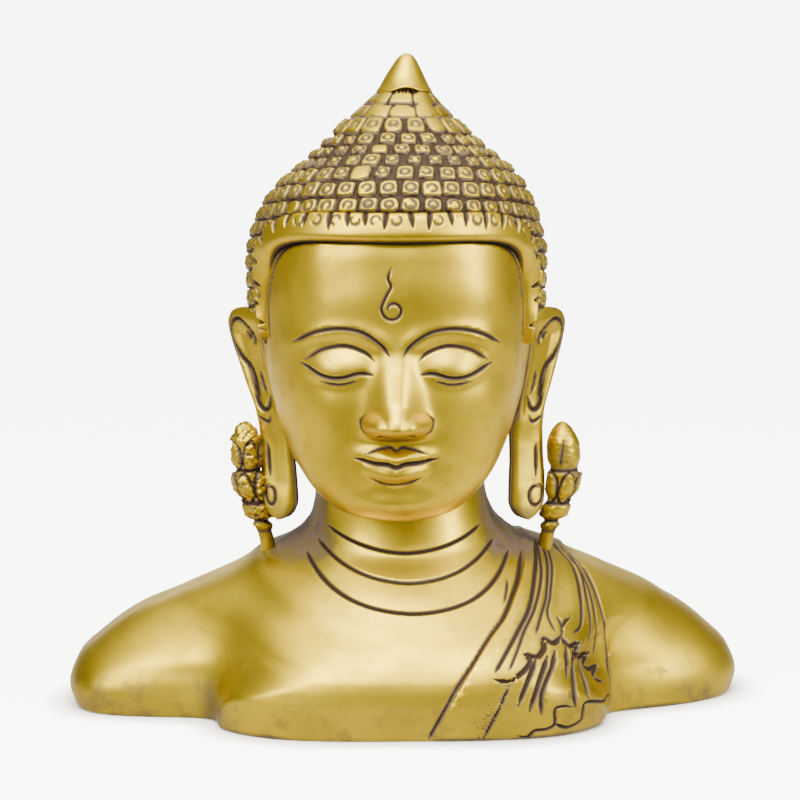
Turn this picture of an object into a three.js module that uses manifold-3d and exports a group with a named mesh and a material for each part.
// A buddha bust cast in brass, standing on its own flat underside.
// The frame is +Z up, with the figure facing -Y and the origin in the middle of the underside.
// Shoulders, neck, head, hair, ears, ear ornaments and crown jewel were cast together, so they are one solid.
import * as THREE from "three";
import { mergeVertices } from "three/addons/utils/BufferGeometryUtils.js";
import Module from "manifold-3d";

const wasm = await Module();
wasm.setup();

// The face from hairline to chin drives the figure. Every proportion below is in parts, 72 to the face.
const faceHeight = 72;
const partsInFace = 72;
const part = faceHeight / partsInFace;

// Heights of the figure's landmarks, in parts above the underside
const chinHeight = 54;
const browHeight = chinHeight + partsInFace / 3 + 24;
const noseBaseHeight = chinHeight + partsInFace / 3;
const eyeHeight = browHeight - 6.5;
const mouthHeight = noseBaseHeight - 8.5;
const hairlineHeight = chinHeight + partsInFace;

// How the head sits: beside the middle of the shoulders and turned a little, with a sway in the hair and ears
const headOffset = -2.6;
const headTurn = THREE.MathUtils.degToRad(-2);
const sway = [
  [48, 1.8],
  [60, 1.7],
  [85, 0.6],
  [104, 0],
  [122, 0],
  [134, 0.7],
  [140, 1.6],
  [144, 1.9],
  [148, 1.6],
  [154, 1.3],
  [163, 2.3],
  [172, 3.7],
];

// Torso levels, each a slice that dips towards the front of the neck: height beside the neck,
// reach of the arm, front and back depth of the arm, half width of the chest, front, back and middle
const torsoLevels = [
  [0, 87.5, 28.5, 26, 55, -44.5, 39, 10],
  [6, 89.2, 29.5, 27, 55.5, -46, 40, 10],
  [12, 87.2, 29.5, 27, 55.5, -46.8, 40.5, 10],
  [18, 81.2, 30, 27, 54.5, -46.6, 40, 9],
  [24, 73.6, 31, 27, 54, -46, 38.5, 8],
  [30, 62.6, 33, 26, 55, -44.5, 36, 6.5],
  [35, 52, 36, 25, 51, -42, 33, 5],
  [39, 44, 36, 25, 44, -38.5, 30, 3.5],
  [41.5, 40, 34.5, 24.5, 39.6, -36, 28.5, 2.6],
  [44.5, 32, 32, 24, 31.8, -32.5, 26.5, 2],
  [47.5, 27.4, 28.5, 23, 27.2, -28, 25, 1],
  [51.5, 24.2, 23, 22, 24, -22.5, 23, 1],
  [58, 22.5, 21, 21, 22.5, -20.5, 22, 1],
  [66, 22, 20, 20, 22, -19.5, 21, 1],
];
const torsoSway = [
  [0, 0.2],
  [12, 0.2],
  [20, 0.3],
  [25.5, 0.8],
  [30, 2.5],
  [36, 2.7],
  [41, 1],
  [48, -0.3],
  [58, -1.5],
  [66, -2.4],
];
const torsoDip = 0.34;
const torsoDipFullHeight = 42;
const torsoDipSoftness = 7;
// The left arm lies a little further back and is rounder in plan than the right one.
const armSetBack = 9;
// The fold between arm and chest in degrees from the side: narrow at the foot and spread out above.
const armpitFrom = 15;
const armpitTo = 40;
const foldSpread = [10, 24];
const softFoldFrom = 3;
const softFoldTo = 27;
const shoulderBladeFrom = 14;
const shoulderBladeTo = 60;
const armSetBackFrom = 35;
const armSetBackTo = 95;
const rightArmSquareness = 4.2;
const leftArmSquareness = 3;
const neckFoldHeights = [43.5, 47, 51.5];
const neckFoldDepth = 0.9;

// Head levels under the hair: height, half width, front and back
const headLevels = [
  [chinHeight - 0.5, 0.01, -24, -23.9],
  [chinHeight + 0.6, 9.5, -31.5, -15],
  [chinHeight + 2.5, 15, -34.6, -11],
  [chinHeight + 6, 19.6, -36.6, -5],
  [chinHeight + 10, 23.4, -37.4, 1],
  [chinHeight + 15, 26.6, -37.8, 9],
  [chinHeight + 21, 29.2, -38.1, 18],
  [chinHeight + 27, 31.4, -38.4, 25],
  [chinHeight + 35, 33.4, -38.8, 30],
  [chinHeight + 45, 34.6, -39, 33],
  [chinHeight + 56, 34.8, -39.3, 35],
  [hairlineHeight - 5, 33.8, -38.6, 35.5],
  [hairlineHeight + 1, 32.4, -37, 33],
  [hairlineHeight + 5, 29, -32, 29],
  [hairlineHeight + 6, 0.01, 1, 1.1],
];

// Hair levels: height at the temple, half width, front and back. Each level rises towards the brow.
const hairLevels = [
  [68, 22, -22, 30],
  [74, 27.5, -27, 34.5],
  [80, 32, -31, 37],
  [90, 36.2, -37, 39.5],
  [100, 38.2, -40, 41],
  [112, 38.6, -41.3, 41.8],
  [119, 38.8, -41.2, 41.2],
  [125, 37.7, -39.8, 39.8],
  [131, 35.8, -37.4, 37.6],
  [136, 33, -34.2, 34.8],
  [140, 29.6, -30.4, 31.4],
  [144, 25.3, -25.8, 27.4],
  [148, 20.8, -21, 23],
  [152, 16.8, -16.6, 19],
  [156, 12.8, -12.4, 15],
  [160, 8.6, -8, 10.8],
  [163, 5.6, -5, 7.8],
];
const hairRise = 0.158;
const hairRiseEndHeight = 165;
const hairRiseStartHeight = 136;

// Snail-shell curls in rows: the height of each row's lower edge at the temple, from the nape up
const curlRowHeights = [
  70, 76, 82, 88, 94, 99.8, 105.2, 110.2, 114.9, 119.3, 123.4, 127.4, 131.6, 136, 140.2, 143.8, 146.8, 150.3, 155, 160,
];
const curlsRound = 42;
const curlRise = 1;
const curlGap = 0.7;

// The face opening in the hair, an arch that is squared at the temples
const openingHalfWidth = 35;
const openingMiddleHeight = hairlineHeight - 36;
const openingSquareness = 4;
const bandClearance = 20;
const foreground = -60;
const bandWidth = 6.4;
const bandRise = 0.9;
const earLineDepth = -5;

// Ears: a twisted plate from the helix down to the long lobe.
// Height, outer edge, inner edge, depth of the middle and turn away from the front
const earLevels = [
  [50.6, 32.2, 31.4, -6.2, 24],
  [51.4, 34, 29.7, -6.2, 24],
  [53, 35.6, 28.4, -6, 24],
  [55.5, 36.6, 27.6, -5.6, 24],
  [61, 36.8, 27.8, -4.8, 26],
  [67, 36.6, 28.2, -4, 28],
  [73, 36.7, 28.4, -3.4, 31],
  [79, 37.5, 29, -3, 36],
  [85, 39.4, 30, -2.2, 42],
  [91, 41.3, 31.2, -1.2, 46],
  [97, 43.1, 31.8, -0.6, 48],
  [101, 43.8, 32.2, -0.2, 49],
  [103.6, 43, 33, 0, 50],
  [105, 41.2, 34.4, 0, 50],
  [105.6, 38.9, 36.6, 0, 50],
];
const earThickness = 4.6;
const earRimDepth = 1.2;
const conchaFoot = 74;
const conchaTop = 104;

// Lotus-bud ear ornaments: height and radius, from the foot on the shoulder up to the tip
const ornamentProfile = [
  [34, 2.3],
  [46.4, 1.9],
  [48.2, 2.6],
  [49.4, 1.9],
  [51, 3.9],
  [53, 3.9],
  [55, 3],
  [58, 4.2],
  [61.6, 4.5],
  [63.6, 3.6],
  [66.4, 4.4],
  [70, 4.3],
  [73, 3.2],
  [75.4, 1.3],
  [76, 0],
];
const ornamentOutward = 41.4;
const ornamentDepth = -3.4;
const ornamentShift = 0.8;
const ornamentLeanIn = 5;
const ornamentLeanBack = 4;
const ornamentPetals = 4;
const petalFoot = 53;
const ornamentPetalRise = 0.14;

// Crown jewel on the top row of curls: its radius as a share of its foot, against its height as a share
const jewelHeight = 10.7;
const jewelLift = 0.8;
const jewelFootRadius = 7.4;
const jewelProfile = [
  [-0.25, 0.6],
  [0, 0.86],
  [0.06, 1],
  [0.2, 0.86],
  [0.45, 0.64],
  [0.68, 0.46],
  [0.86, 0.29],
  [0.96, 0.13],
  [1, 0],
];
const jewelLean = THREE.MathUtils.degToRad(4);

// Robe over the left shoulder: its inner and outer edge, as distance from the middle and height,
// from the foot of the chest up to the neck
const robeInnerEdge = [
  [4.8, 0.6],
  [10.5, 13.5],
  [18.5, 24],
  [25.5, 33],
  [29.8, 42.5],
];
const robeOuterEdge = [
  [52.5, 0.6],
  [52.8, 12],
  [51.5, 22],
  [48, 30],
  [42, 38],
];
const robeFolds = 5;
const robeRise = 1;
const robeFoldRise = 0.6;
const robeRoot = 5;
const robeBackInner = 20;
const robeBackOuter = 46;

// Eases from 0 to 1 between two limits.
function ease(from, to, value) {
  const share = THREE.MathUtils.clamp((value - from) / (to - from), 0, 1);
  return share * share * (3 - 2 * share);
}

// Reads one column of a table at a height, along a smooth curve that never overshoots its rows.
function reading(levels, height, column) {
  const last = levels.length - 1;
  if (height <= levels[0][0]) return levels[0][column];
  if (height >= levels[last][0]) return levels[last][column];
  const slope = (k) => (levels[k + 1][column] - levels[k][column]) / (levels[k + 1][0] - levels[k][0]);
  const tangent = (k) => {
    if (k === 0) return slope(0);
    if (k === last) return slope(last - 1);
    const below = slope(k - 1);
    const above = slope(k);
    return below * above <= 0 ? 0 : (2 * below * above) / (below + above);
  };
  let k = 0;
  while (height > levels[k + 1][0]) k += 1;
  const span = levels[k + 1][0] - levels[k][0];
  const t = (height - levels[k][0]) / span;
  const [a, b] = [levels[k][column], levels[k + 1][column]];
  const [m, n] = [tangent(k) * span, tangent(k + 1) * span];
  const t2 = t * t;
  const t3 = t2 * t;
  return (2 * t3 - 3 * t2 + 1) * a + (t3 - 2 * t2 + t) * m + (3 * t2 - 2 * t3) * b + (t3 - t2) * n;
}

// Distance from the middle of an oval to its edge, in a direction given by cosine and sine.
function ovalReach(across, along, halfWidth, halfDepth, squareness) {
  const w = Math.abs(across / halfWidth) ** squareness;
  const d = Math.abs(along / halfDepth) ** squareness;
  return (w + d) ** (-1 / squareness);
}

// A closed three.js geometry as a solid for joining and cutting.
function solid(geometry) {
  const bare = geometry.clone();
  bare.deleteAttribute("normal");
  bare.deleteAttribute("uv");
  const merged = mergeVertices(bare, 1e-4);
  const made = new wasm.Manifold(
    new wasm.Mesh({
      numProp: 3,
      vertProperties: new Float32Array(merged.attributes.position.array),
      triVerts: new Uint32Array(merged.index.array),
    }),
  );
  if (made.volume() >= 0) return made;
  const turned = new Uint32Array(merged.index.array);
  for (let i = 0; i < turned.length; i += 3) [turned[i + 1], turned[i + 2]] = [turned[i + 2], turned[i + 1]];
  return new wasm.Manifold(
    new wasm.Mesh({
      numProp: 3,
      vertProperties: new Float32Array(merged.attributes.position.array),
      triVerts: turned,
    }),
  );
}

// The biggest body of a cut solid, without the chips that a cut leaves.
function biggest(shape) {
  return shape.decompose().reduce((most, body) => (body.volume() > most.volume() ? body : most));
}

// Moves every vertex of a geometry by a function that takes and returns a Vector3.
function reshape(geometry, place) {
  const position = geometry.attributes.position;
  const vertex = new THREE.Vector3();
  for (let i = 0; i < position.count; i += 1) {
    vertex.copy(place(vertex.fromBufferAttribute(position, i)));
    position.setXYZ(i, vertex.x, vertex.y, vertex.z);
  }
  return geometry;
}

// A sphere's vertex as the direction round the axis and the share of the way up from its lower pole.
function windingOf(vertex) {
  const up = Math.acos(THREE.MathUtils.clamp(-vertex.y, -1, 1)) / Math.PI;
  const round = Math.hypot(vertex.x, vertex.z) < 1e-9 ? 0 : Math.atan2(-vertex.z, vertex.x);
  return { round, up };
}

// The dip of a torso level towards the front, which fades out at the back
function torsoDipAt(height, y) {
  const ahead = (Math.hypot(y, torsoDipSoftness) - y) / 2;
  return torsoDip * ease(0, torsoDipFullHeight, height) * ahead;
}

// The torso's surface at a direction round the body and a level, in parts.
function torsoPoint(round, height) {
  const value = (column) => reading(torsoLevels, height, column);
  const [across, along] = [Math.cos(round), Math.sin(round)];
  const middle = value(7);
  const atFront = along < 0;
  const armDepth = value(atFront ? 2 : 3);
  const bodyDepth = atFront ? middle - value(5) : value(6) - middle;
  const squareAtFoot = leftArmSquareness + (rightArmSquareness - leftArmSquareness) * ease(0.3, -0.3, across);
  const squareArm = atFront ? squareAtFoot + (2.2 - squareAtFoot) * ease(6, 28, height) : 2.8;
  const squareBody = atFront ? 3.4 - 1.2 * ease(24, 44, height) : 2.6;
  const arm = ovalReach(across, along, value(1), armDepth, squareArm);
  const body = ovalReach(across, along, value(4), bodyDepth, squareBody);
  const away = THREE.MathUtils.radToDeg(Math.asin(Math.abs(along)));
  const spread = ease(softFoldFrom, softFoldTo, height);
  const front = ease(armpitFrom - foldSpread[0] * spread, armpitTo + foldSpread[1] * spread, away);
  const share = atFront ? front : ease(shoulderBladeFrom, shoulderBladeTo, away);
  let reach = arm + (body - arm) * share;
  for (const fold of neckFoldHeights) {
    reach -= neckFoldDepth * Math.max(0, 1 - Math.abs(height - fold) / 0.8) * ease(0.3, -0.2, along);
  }
  const x = across * reach + reading(torsoSway, height, 1);
  const y = middle + along * reach + armSetBack * ease(armSetBackFrom, armSetBackTo, x);
  return new THREE.Vector3(x, y, height - torsoDipAt(height, y));
}

// Torso and neck, closed by the flat underside and by a top that is lost in the head.
function torso() {
  const rows = [0, 0, 2, 6, 12, 18, 23, 28, 33, 37, 40, 42.5, 43.5, 44.5, 46, 47, 48, 50.5, 51.5, 52.5, 60, 66, 66];
  const columns = 40;
  const sphere = new THREE.SphereGeometry(1, columns, rows.length - 1);
  reshape(sphere, (vertex) => {
    const { round, up } = windingOf(vertex);
    const row = Math.round(up * (rows.length - 1));
    const height = rows[row];
    if (row === 0) return new THREE.Vector3(0, 0, 0);
    if (row === rows.length - 1) return new THREE.Vector3(0, 1, height);
    // More columns go to the chest, the back and the tips of the arms.
    const turned = round - 0.1 * Math.sin(4 * round);
    return torsoPoint(turned, height);
  });
  return solid(sphere.scale(part, part, part));
}

// The front of the torso straight ahead of a place across it, by halving the turn round the body.
function chestPoint(x, height) {
  let [low, high] = [-Math.PI / 2, -Math.PI / 90];
  for (let i = 0; i < 24; i += 1) {
    const middle = (low + high) / 2;
    if (torsoPoint(middle, height).x < x) low = middle;
    else high = middle;
  }
  return torsoPoint((low + high) / 2, height);
}

// The torso's level that passes through a height at the front, at a place across it.
function chestLevel(x, z) {
  let [low, high] = [0, 60];
  for (let i = 0; i < 22; i += 1) {
    const middle = (low + high) / 2;
    if (chestPoint(x, middle).z < z) low = middle;
    else high = middle;
  }
  return (low + high) / 2;
}

// A height of each fold's crest over the chest, 0 in the valleys.
function foldCrest(share) {
  const edge = Math.min(1, 8 * share, 8 * (1 - share));
  return edge * (robeRise + robeFoldRise * Math.cos(2 * Math.PI * robeFolds * share));
}

// The robe's front: a slab over the chest with pleats that run down from the shoulder.
function robeFront() {
  const [across, along] = [4 * robeFolds, 7];
  const slab = new THREE.BoxGeometry(1, 1, 1, across, along, 1);
  reshape(slab, (vertex) => {
    const [share, up] = [vertex.x + 0.5, vertex.y + 0.5];
    const index = up * (robeInnerEdge.length - 1);
    const k = Math.min(Math.floor(index), robeInnerEdge.length - 2);
    const between = (edge, column) => edge[k][column] + (edge[k + 1][column] - edge[k][column]) * (index - k);
    const x = THREE.MathUtils.lerp(between(robeInnerEdge, 0), between(robeOuterEdge, 0), share);
    const z = THREE.MathUtils.lerp(between(robeInnerEdge, 1), between(robeOuterEdge, 1), share);
    const onChest = chestPoint(x, chestLevel(x, z));
    const lift = vertex.z > 0 ? foldCrest(share) : -robeRoot;
    const outward = new THREE.Vector3(0.25 * ease(30, 52, x), -1, 0.5 * ease(10, 40, z)).normalize();
    const placed = onChest.addScaledVector(outward, lift);
    placed.z = Math.max(placed.z, 0);
    return placed;
  });
  return solid(slab.scale(part, part, part));
}

// The robe's back: a plainer panel that comes down from the shoulder to the foot.
function robeBack() {
  const [across, along] = [2 * (robeFolds - 1), 6];
  const slab = new THREE.BoxGeometry(1, 1, 1, across, along, 1);
  reshape(slab, (vertex) => {
    const [share, up] = [vertex.x + 0.5, vertex.y + 0.5];
    const height = 44 * up;
    const nearNeck = ease(0.2, 1, up);
    const x = THREE.MathUtils.lerp(
      robeBackInner - 44 * (1 - up) * 0.9 + 2 * nearNeck,
      robeBackOuter - 14 * nearNeck,
      share,
    );
    let [low, high] = [0.02, Math.PI - 0.02];
    for (let i = 0; i < 24; i += 1) {
      const middle = (low + high) / 2;
      if (torsoPoint(middle, height).x > x) low = middle;
      else high = middle;
    }
    const onBack = torsoPoint(low, height);
    const edge = Math.min(1, 8 * share, 8 * (1 - share));
    const wave = Math.cos(2 * Math.PI * (robeFolds - 1) * share);
    const lift = vertex.z > 0 ? edge * (0.8 * robeRise + 0.4 * robeFoldRise * wave) : -robeRoot;
    const outward = new THREE.Vector3(0.15, 1, 0.6 * ease(0.4, 1, up)).normalize();
    const placed = onBack.addScaledVector(outward, lift);
    placed.z = Math.max(placed.z, 0);
    return placed;
  });
  return solid(slab.scale(part, part, part));
}

// A soft round rise on the face: 1 at its middle and 0 past its edge.
function mound(dx, dz, halfWidth, halfHeight) {
  const far = Math.hypot(dx / halfWidth, dz / halfHeight);
  return far >= 1 ? 0 : (1 - far * far) ** 2;
}

// How far a place on the front of the face stands out: brows, lids, nose, lips and chin on plain proportions.
function faceRelief(x, z) {
  const side = Math.abs(x);
  const noseShare = THREE.MathUtils.clamp((browHeight - 2 - z) / (browHeight - 2 - noseBaseHeight), 0, 1.12);
  const noseWidth = 3.6 + 3.4 * noseShare;
  const noseHeight = 9 * noseShare ** 1.15 * ease(noseBaseHeight - 2.8, noseBaseHeight + 1.2, z);
  const nose = noseHeight * Math.exp(-((side / noseWidth) ** 2.4)) * ease(browHeight, browHeight - 5, z);
  const wings = 3.6 * mound(side - 6.4, z - noseBaseHeight - 2.4, 4.2, 4);
  const sockets = -1.6 * mound(side - 13, z - eyeHeight - 1.5, 13, 8);
  const lids = 2.4 * mound(side - 15.5, z - eyeHeight + 0.5, 9.5, 5.2);
  const browArch = browHeight + 0.5 - 0.012 * (side - 15) ** 2;
  const brows = 0.9 * Math.exp(-(((z - browArch) / 2) ** 2)) * ease(34, 26, side) * ease(1, 4, side);
  const lipHalf = 11.5;
  const smile = 0.012 * side * side;
  const upperLip = 2.2 * mound(x, z - mouthHeight - 2 - smile, lipHalf, 3.4);
  const lowerLip = 2.6 * mound(x, z - mouthHeight + 2.4 - smile, lipHalf * 0.86, 3.6);
  const chin = 1.8 * mound(x, z - chinHeight - 5.5, 9, 6);
  return nose + wings + sockets + lids + brows + upperLip + lowerLip + chin;
}

// Skull, face and jaw under the hair.
function faceCore() {
  const rows = 32;
  const columns = 34;
  const sphere = new THREE.SphereGeometry(1, columns, rows);
  const [bottom, top] = [headLevels[0][0], headLevels[headLevels.length - 1][0]];
  reshape(sphere, (vertex) => {
    const { round, up } = windingOf(vertex);
    const height = bottom + (top - bottom) * (up - 0.035 * Math.sin(2 * Math.PI * up));
    const halfWidth = reading(headLevels, height, 1);
    const front = reading(headLevels, height, 2);
    const back = reading(headLevels, height, 3);
    const [middle, halfDepth] = [(front + back) / 2, (back - front) / 2];
    // The front third of the turn takes most of the columns.
    const turned = round - 0.42 * Math.cos(round) * Math.max(0, -Math.sin(round)) ** 0.6;
    const [across, along] = [Math.cos(turned), Math.sin(turned)];
    const reach = ovalReach(across, along, halfWidth, halfDepth, 2.5);
    const x = across * reach;
    const relief = along < 0 ? faceRelief(x, height) * ease(0.05, 0.5, -along) : 0;
    return new THREE.Vector3(x, middle + along * reach - relief, height);
  });
  return solid(sphere.scale(part, part, part));
}

// A point on the hair's surface, or lift parts out from it.
function hairPoint(round, height, lift) {
  const halfWidth = reading(hairLevels, height, 1) + lift;
  const front = reading(hairLevels, height, 2) - lift;
  const back = reading(hairLevels, height, 3) + lift;
  const [middle, halfDepth] = [(front + back) / 2, (back - front) / 2];
  const reach = ovalReach(Math.cos(round), Math.sin(round), halfWidth, halfDepth, 2.15);
  const y = middle + Math.sin(round) * reach;
  const rise = hairRise * (1 - 0.75 * ease(hairRiseStartHeight, hairRiseEndHeight, height));
  const x = Math.cos(round) * reach + reading(sway, height, 1);
  return new THREE.Vector3(x, y, height - rise * y);
}

// Hair as one closed skin: a net of dark gaps with a curl drawn out to a point in every mesh of the net.
function curledSkin() {
  const rows = curlRowHeights.length - 1;
  const points = [];
  const faces = [];
  const put = (point) => points.push(point.x, point.y, point.z);
  const middleAt = (height) =>
    hairPoint(-Math.PI / 2, height, 0).add(hairPoint(Math.PI / 2, height, 0)).multiplyScalar(0.5);
  for (let row = 0; row <= rows; row += 1) {
    for (let k = 0; k < curlsRound; k += 1) {
      put(hairPoint((2 * Math.PI * k) / curlsRound, curlRowHeights[row], -curlGap));
    }
  }
  const corner = (row, k) => row * curlsRound + (k % curlsRound);
  for (let row = 0; row < rows; row += 1) {
    const height = (curlRowHeights[row] + curlRowHeights[row + 1]) / 2;
    const rise = row < rows - 2 ? curlRise : curlRise / 3;
    for (let k = 0; k < curlsRound; k += 1) {
      const tip = points.length / 3;
      put(hairPoint((2 * Math.PI * (k + 0.5)) / curlsRound, height, rise));
      const [a, b, c, d] = [corner(row, k), corner(row, k + 1), corner(row + 1, k + 1), corner(row + 1, k)];
      faces.push(a, b, tip, b, c, tip, c, d, tip, d, a, tip);
    }
  }
  for (const row of [0, rows]) {
    const hub = points.length / 3;
    put(middleAt(curlRowHeights[row]));
    for (let k = 0; k < curlsRound; k += 1) {
      const [a, b] = row === 0 ? [corner(row, k + 1), corner(row, k)] : [corner(row, k), corner(row, k + 1)];
      faces.push(a, b, hub);
    }
  }
  const skin = new THREE.BufferGeometry()
    .setAttribute("position", new THREE.Float32BufferAttribute(points, 3))
    .setIndex(faces);
  return solid(skin.scale(part, part, part));
}

// The arch of the face opening, or the arch spread parts outside it, as a shape seen from the front.
function openingShape(spread) {
  const halfWidth = openingHalfWidth + spread;
  const rise = hairlineHeight - openingMiddleHeight + spread;
  const steps = 28;
  const shape = new THREE.Shape();
  for (let i = 0; i <= steps; i += 1) {
    const turn = (Math.PI * i) / steps;
    const reach = ovalReach(Math.cos(turn), Math.sin(turn), halfWidth, rise, openingSquareness);
    const point = [reach * Math.cos(turn) * part, (openingMiddleHeight + reach * Math.sin(turn)) * part];
    if (i === 0) shape.moveTo(...point);
    else shape.lineTo(...point);
  }
  return shape;
}

// Draws a shape seen from the front into a prism that runs from the front back to a depth.
function prism(shape, from, to) {
  const block = new THREE.ExtrudeGeometry(shape, { depth: (to - from) * part, bevelEnabled: false });
  return block.rotateX(Math.PI / 2).translate(0, to * part, 0);
}

// Hair with the face opening cut out, and the smooth band round the opening.
function hair() {
  const opening = solid(prism(openingShape(bandWidth), foreground, earLineDepth));
  const below = new THREE.Shape();
  const reach = openingHalfWidth + bandClearance;
  below.moveTo(-reach * part, 40 * part);
  below.lineTo(reach * part, 40 * part);
  below.lineTo(reach * part, (openingMiddleHeight + 12) * part);
  below.lineTo(-reach * part, (openingMiddleHeight + 12) * part);
  const front = solid(prism(below, foreground, earLineDepth));
  return biggest(curledSkin().subtract(opening).subtract(front)).add(band());
}

// The raised band of hair at the brow, cut to follow the head.
function band() {
  const rows = [84, 92, 100, 108, 115, 120, 125, 130, 135];
  const drum = new THREE.CylinderGeometry(1, 1, 1, 40, rows.length - 1);
  reshape(drum, (vertex) => {
    const height = rows[Math.round((vertex.y + 0.5) * (rows.length - 1))];
    if (Math.hypot(vertex.x, vertex.z) < 0.5) return new THREE.Vector3(0, 0, height);
    return hairPoint(Math.atan2(-vertex.z, vertex.x), height, bandRise - 1);
  });
  const outer = solid(prism(openingShape(bandWidth + 0.5), foreground, earLineDepth + 1));
  const inner = solid(prism(openingShape(0), foreground - 1, earLineDepth + 2));
  const lower = new THREE.Shape();
  const reach = openingHalfWidth + bandClearance;
  lower.moveTo(-reach * part, (openingMiddleHeight + 4) * part);
  lower.lineTo(reach * part, (openingMiddleHeight + 4) * part);
  lower.lineTo(reach * part, (hairlineHeight + 30) * part);
  lower.lineTo(-reach * part, (hairlineHeight + 30) * part);
  return solid(drum.scale(part, part, part))
    .intersect(outer)
    .subtract(inner)
    .intersect(solid(prism(lower, foreground, earLineDepth + 3)));
}

// One ear, on the side given by 1 or -1: a twisted plate, hollowed inside its rim.
function ear(side) {
  const [across, along] = [5, 11];
  const plate = new THREE.BoxGeometry(1, 1, 1, across, along, 2);
  const [bottom, top] = [earLevels[0][0], earLevels[earLevels.length - 1][0]];
  reshape(plate, (vertex) => {
    const [share, up] = [vertex.x, vertex.y + 0.5];
    const height = bottom + (top - bottom) * (up - 0.06 * Math.sin(2 * Math.PI * up));
    const outer = reading(earLevels, height, 1);
    const inner = reading(earLevels, height, 2);
    const depth = reading(earLevels, height, 3);
    const turn = THREE.MathUtils.degToRad(reading(earLevels, height, 4));
    const width = (outer - inner) / Math.cos(turn);
    const rounding = Math.sqrt(Math.max(0.12, 1 - (2 * share) ** 4));
    const upConcha = ease(conchaFoot, conchaFoot + 6, height) * ease(conchaTop, conchaTop - 5, height);
    const inConcha = ease(0.4, 0.28, Math.abs(share)) * upConcha;
    let thick = vertex.z * earThickness * rounding;
    if (vertex.z < 0) thick += earRimDepth * 1.6 * inConcha;
    const x = (outer + inner) / 2 + share * width * Math.cos(turn) + thick * Math.sin(turn) * -1;
    const y = depth + share * width * Math.sin(turn) + thick * Math.cos(turn);
    return new THREE.Vector3(side * x + reading(sway, height, 1), y, height);
  });
  return solid(plate.scale(part, part, part));
}

// One ear ornament: a lotus bud on a beaded stem that stands on the shoulder.
function ornament(side) {
  const columns = 2 * ornamentPetals;
  const outline = ornamentProfile.map(([height, radius]) => new THREE.Vector2(radius, height));
  outline.unshift(new THREE.Vector2(0, ornamentProfile[0][0]));
  const bud = new THREE.LatheGeometry(outline, columns);
  const [foot, tip] = [ornamentProfile[0][0], ornamentProfile[ornamentProfile.length - 1][0]];
  reshape(bud, (vertex) => {
    const round = Math.atan2(vertex.z, vertex.x);
    const radius = Math.hypot(vertex.x, vertex.z);
    const petal = 1 + ornamentPetalRise * Math.cos(ornamentPetals * round) * ease(petalFoot, petalFoot + 4, vertex.y);
    const lean = -ornamentLeanIn * (1 - ease(foot + 6, tip - 12, vertex.y));
    const x = ornamentOutward + lean + radius * petal * Math.cos(round);
    const back = ornamentLeanBack * (1 - ease(foot + 6, tip - 18, vertex.y));
    const y = ornamentDepth + back + radius * petal * Math.sin(round);
    return new THREE.Vector3(side * x + ornamentShift + reading(sway, vertex.y, 1), y, vertex.y);
  });
  return solid(bud.scale(part, part, part));
}

// The plain jewel on the crown, leaning a little to one side.
function jewel() {
  const foot = curlRowHeights[curlRowHeights.length - 1] + jewelLift;
  const outline = jewelProfile.map(([up, out]) => new THREE.Vector2(out * jewelFootRadius, up * jewelHeight));
  outline.unshift(new THREE.Vector2(0, jewelProfile[0][0] * jewelHeight));
  const cone = new THREE.LatheGeometry(outline, 24).rotateX(Math.PI / 2);
  cone.rotateY(jewelLean).translate(reading(sway, foot, 1), 1.2, foot);
  return solid(cone.scale(part, part, part));
}

// Sets a solid that was modelled square to the frame into the head's own place.
function setOnNeck(shape) {
  const place = new THREE.Matrix4().makeRotationZ(headTurn).setPosition(headOffset * part, 0, 0);
  return shape.transform(place.elements);
}

// A solid back as a three.js mesh.
function meshOf(shape, name, material) {
  const { numProp, vertProperties, triVerts } = shape.getMesh();
  const positions = new Float32Array((vertProperties.length / numProp) * 3);
  for (let i = 0; i < positions.length / 3; i += 1) {
    positions.set(vertProperties.subarray(i * numProp, i * numProp + 3), i * 3);
  }
  const geometry = new THREE.BufferGeometry()
    .setAttribute("position", new THREE.BufferAttribute(positions, 3))
    .setIndex(new THREE.BufferAttribute(triVerts, 1));
  geometry.computeVertexNormals();
  const mesh = new THREE.Mesh(geometry, material);
  mesh.name = name;
  return mesh;
}

// Polished yellow brass that has darkened in the hollows
const brass = new THREE.MeshStandardMaterial({ color: 0xc9a445, roughness: 0.3, metalness: 1 });

const head = setOnNeck(faceCore().add(hair()).add(jewel()).add(ear(1)).add(ear(-1)).add(ornament(1)).add(ornament(-1)));
const casting = torso().add(robeFront()).add(robeBack()).add(head);

const bust = new THREE.Group();
bust.add(meshOf(casting, "buddha_bust", brass));

export default bust;
